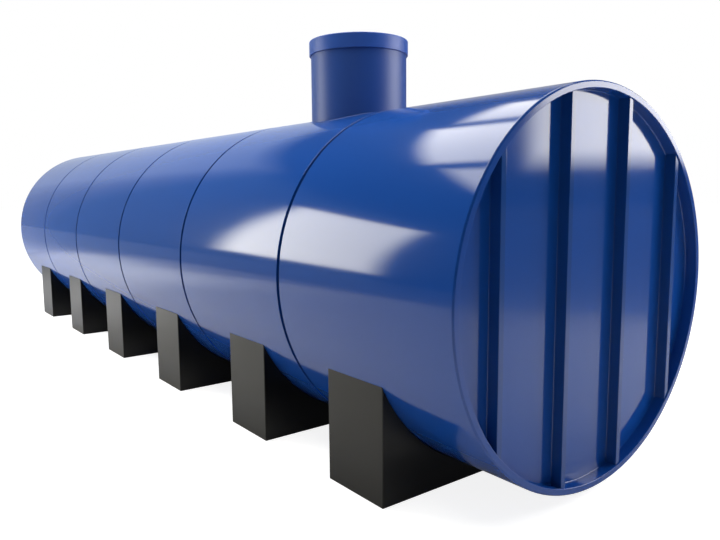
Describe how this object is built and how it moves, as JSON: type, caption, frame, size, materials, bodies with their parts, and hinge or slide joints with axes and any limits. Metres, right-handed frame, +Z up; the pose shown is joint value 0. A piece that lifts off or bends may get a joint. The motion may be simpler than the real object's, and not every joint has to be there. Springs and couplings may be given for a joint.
{
  "type": "horizontal water storage tank",
  "caption": "Horizontal welded plastic tank on block cradles, with ribbed flat ends set inside open rims and a capped neck on top.",
  "frame": {"origin": "on the ground under the middle of the tank, midway between the two rims", "axes": "+X along the barrel towards the front end, which is the end nearer the neck; +Y across the tank; +Z up"},
  "size_m": [8.1, 1.9998, 2.5473],
  "materials": {
    "tank_plastic": "glossy blue polypropylene sheet, welded",
    "cradle_plastic": "black polyethylene, satin"
  },
  "bodies": {
    "root": {"barrel_section_1": "tank_plastic", "barrel_section_2": "tank_plastic", "barrel_section_3": "tank_plastic", "barrel_section_4": "tank_plastic", "barrel_section_5": "tank_plastic", "barrel_section_6": "tank_plastic", "front_end_plate": "tank_plastic", "rear_end_plate": "tank_plastic", "front_rib_1": "tank_plastic", "front_rib_2": "tank_plastic", "front_rib_3": "tank_plastic", "front_rib_4": "tank_plastic", "rear_rib_1": "tank_plastic", "rear_rib_2": "tank_plastic", "rear_rib_3": "tank_plastic", "rear_rib_4": "tank_plastic", "neck": "tank_plastic", "neck_cap": "tank_plastic", "cradle_1": "cradle_plastic", "cradle_2": "cradle_plastic", "cradle_3": "cradle_plastic", "cradle_4": "cradle_plastic", "cradle_5": "cradle_plastic", "cradle_6": "cradle_plastic"}
  },
  "joints": []
}
